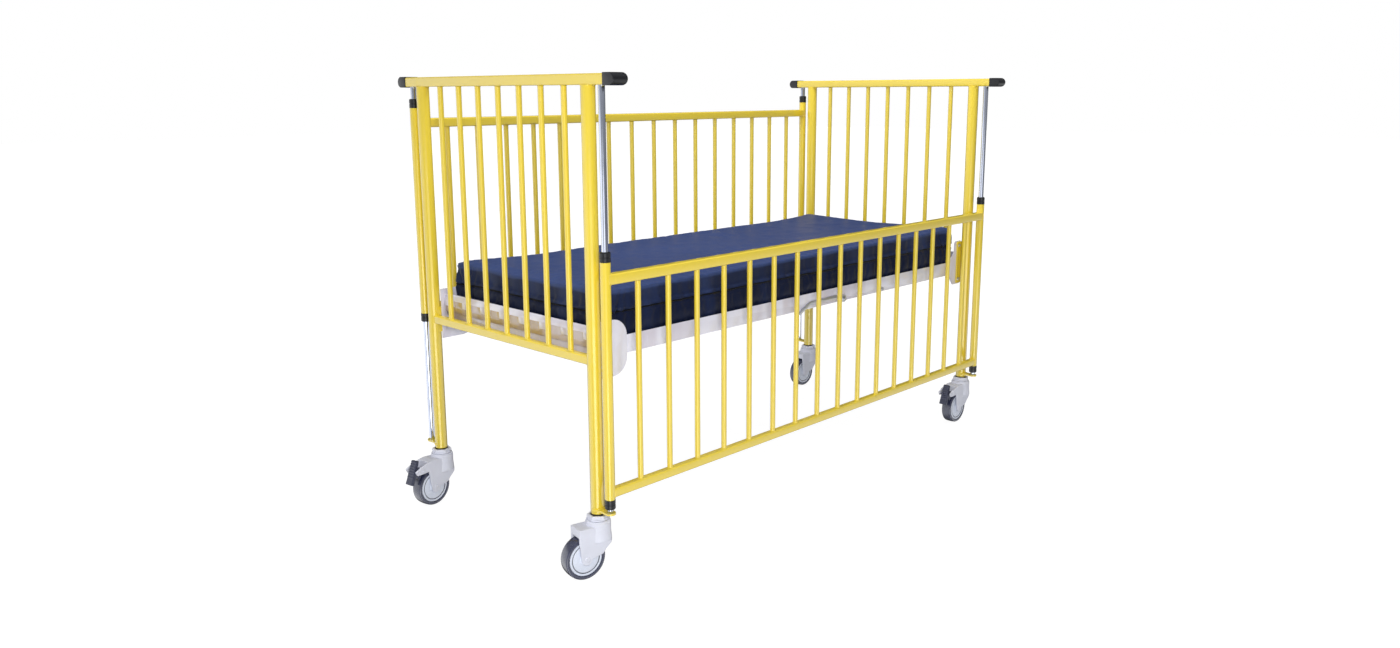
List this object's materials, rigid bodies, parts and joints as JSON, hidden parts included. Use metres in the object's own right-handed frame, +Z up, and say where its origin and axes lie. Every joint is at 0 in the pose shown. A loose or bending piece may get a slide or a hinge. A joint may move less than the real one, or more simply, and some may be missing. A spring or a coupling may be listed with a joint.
{
  "type": "pediatric hospital cot",
  "caption": "Tall hospital cot of round bars with drop sides on guide rods, a lifting backrest, a mattress and four swivel casters, two with brake pedals.",
  "frame": {"origin": "on the floor under the middle of the bounding box, wheels standing on z = 0", "axes": "+X from the foot end to the head end, +Y from the lowered near side to the raised far side, +Z up"},
  "size_m": [2.068, 0.998, 1.338],
  "materials": {
    "yellow_paint": "gloss enamel",
    "white_paint": "gloss enamel",
    "chrome": "polished",
    "steel": "zinc plated",
    "black_plastic": "smooth",
    "mattress_cover": "coated wipe-clean cover",
    "caster_grey": "satin",
    "hub_grey": "satin",
    "tyre": "smooth",
    "pedal_plastic": "ribbed"
  },
  "bodies": {
    "frame": {"foot_frame_posts": "yellow_paint", "foot_frame_rails": "yellow_paint", "foot_frame_bars": "yellow_paint", "head_frame_posts": "yellow_paint", "head_frame_rails": "yellow_paint", "head_frame_bars": "yellow_paint", "guide_rods": "chrome", "corner_buffers": "black_plastic", "rod_brackets": "yellow_paint", "deck_side_members": "white_paint", "deck_end_members": "white_paint", "deck_cross_members": "white_paint", "foot_panel": "white_paint", "corner_plates": "white_paint", "post_lugs": "yellow_paint", "deck_bolts": "steel", "member_bolts": "steel", "backrest_pin": "steel", "stay_racks": "white_paint", "mattress_foot": "mattress_cover", "mattress_bend": "mattress_cover", "caster_stems": "steel", "caster_collars": "caster_grey"},
    "near_side": {"near_side_sleeves": "yellow_paint", "near_side_rails": "yellow_paint", "near_side_bars": "yellow_paint", "near_side_bushes": "black_plastic"},
    "far_side": {"far_side_sleeves": "yellow_paint", "far_side_rails": "yellow_paint", "far_side_bars": "yellow_paint", "far_side_bushes": "black_plastic"},
    "backrest": {"backrest_panel": "white_paint", "backrest_knuckles": "white_paint", "backrest_ribs": "white_paint", "stay_pins": "steel", "mattress_head": "mattress_cover"},
    "stay": {"stay_arms": "white_paint", "stay_foot_rod": "steel"},
    "lever": {"release_lever": "white_paint"},
    "near_left_fork_body": {"near_left_fork": "caster_grey", "near_left_pins": "steel"},
    "near_left_wheel": {"near_left_hub": "hub_grey", "near_left_tyre": "tyre"},
    "far_left_fork_body": {"far_left_fork": "caster_grey", "far_left_pins": "steel"},
    "far_left_wheel": {"far_left_hub": "hub_grey", "far_left_tyre": "tyre"},
    "far_left_brake": {"far_left_pedal": "pedal_plastic"},
    "near_right_fork_body": {"near_right_fork": "caster_grey", "near_right_pins": "steel"},
    "near_right_wheel": {"near_right_hub": "hub_grey", "near_right_tyre": "tyre"},
    "near_right_brake": {"near_right_pedal": "pedal_plastic"},
    "far_right_fork_body": {"far_right_fork": "caster_grey", "far_right_pins": "steel"},
    "far_right_wheel": {"far_right_hub": "hub_grey", "far_right_tyre": "tyre"}
  },
  "joints": [
    {"name": "near_side_slide", "type": "slide", "parent": "frame", "child": "near_side", "axis": [0, 0, 1], "range_m": [-0.0097, 0.4157]},
    {"name": "far_side_slide", "type": "slide", "parent": "frame", "child": "far_side", "axis": [0, 0, 1], "range_m": [-0.3897, 0.0357]},
    {"name": "backrest_hinge", "type": "hinge", "parent": "frame", "child": "backrest", "pos_m": [0.15202, 0, 0.612], "axis": [0, -1, 0], "range_deg": [0, 60], "deforming": ["mattress_bend"]},
    {"name": "stay_hinge", "type": "hinge", "parent": "backrest", "child": "stay", "pos_m": [0.48202, 0, 0.612], "axis": [0, -1, 0], "range_deg": [-120, 0]},
    {"name": "lever_hinge", "type": "hinge", "parent": "frame", "child": "lever", "pos_m": [0.22603, -0.365, 0.599], "axis": [0, 1, 0], "range_deg": [0, 20]},
    {"name": "near_left_swivel", "type": "hinge", "parent": "frame", "child": "near_left_fork_body", "pos_m": [-0.89797, -0.385, 0.1], "axis": [0, 0, 1], "continuous": true},
    {"name": "near_left_roll", "type": "hinge", "parent": "near_left_fork_body", "child": "near_left_wheel", "pos_m": [-0.94493, -0.37502, 0.06], "axis": [-0.2079, -0.9781, 0], "continuous": true},
    {"name": "far_left_swivel", "type": "hinge", "parent": "frame", "child": "far_left_fork_body", "pos_m": [-0.89797, 0.385, 0.1], "axis": [0, 0, 1], "continuous": true},
    {"name": "far_left_roll", "type": "hinge", "parent": "far_left_fork_body", "child": "far_left_wheel", "pos_m": [-0.94562, 0.37915, 0.06], "axis": [0.1219, -0.9925, 0], "continuous": true},
    {"name": "far_left_brake_press", "type": "hinge", "parent": "far_left_fork_body", "child": "far_left_brake", "pos_m": [-0.99326, 0.3733, 0.127], "axis": [0.1219, -0.9925, 0], "range_deg": [0, 15]},
    {"name": "near_right_swivel", "type": "hinge", "parent": "frame", "child": "near_right_fork_body", "pos_m": [0.99403, -0.385, 0.1], "axis": [0, 0, 1], "continuous": true},
    {"name": "near_right_roll", "type": "hinge", "parent": "near_right_fork_body", "child": "near_right_wheel", "pos_m": [0.94603, -0.38584, 0.06], "axis": [0.0175, -0.9998, 0], "continuous": true},
    {"name": "near_right_brake_press", "type": "hinge", "parent": "near_right_fork_body", "child": "near_right_brake", "pos_m": [0.89804, -0.38667, 0.127], "axis": [0.0175, -0.9998, 0], "range_deg": [0, 15]},
    {"name": "far_right_swivel", "type": "hinge", "parent": "frame", "child": "far_right_fork_body", "pos_m": [0.99403, 0.385, 0.1], "axis": [0, 0, 1], "continuous": true},
    {"name": "far_right_roll", "type": "hinge", "parent": "far_right_fork_body", "child": "far_right_wheel", "pos_m": [0.94603, 0.385, 0.06], "axis": [0, -1, 0], "continuous": true}
  ],
  "couplings": [
    {"joint": "stay_hinge", "follows": "backrest_hinge", "ratio": -2}
  ]
}
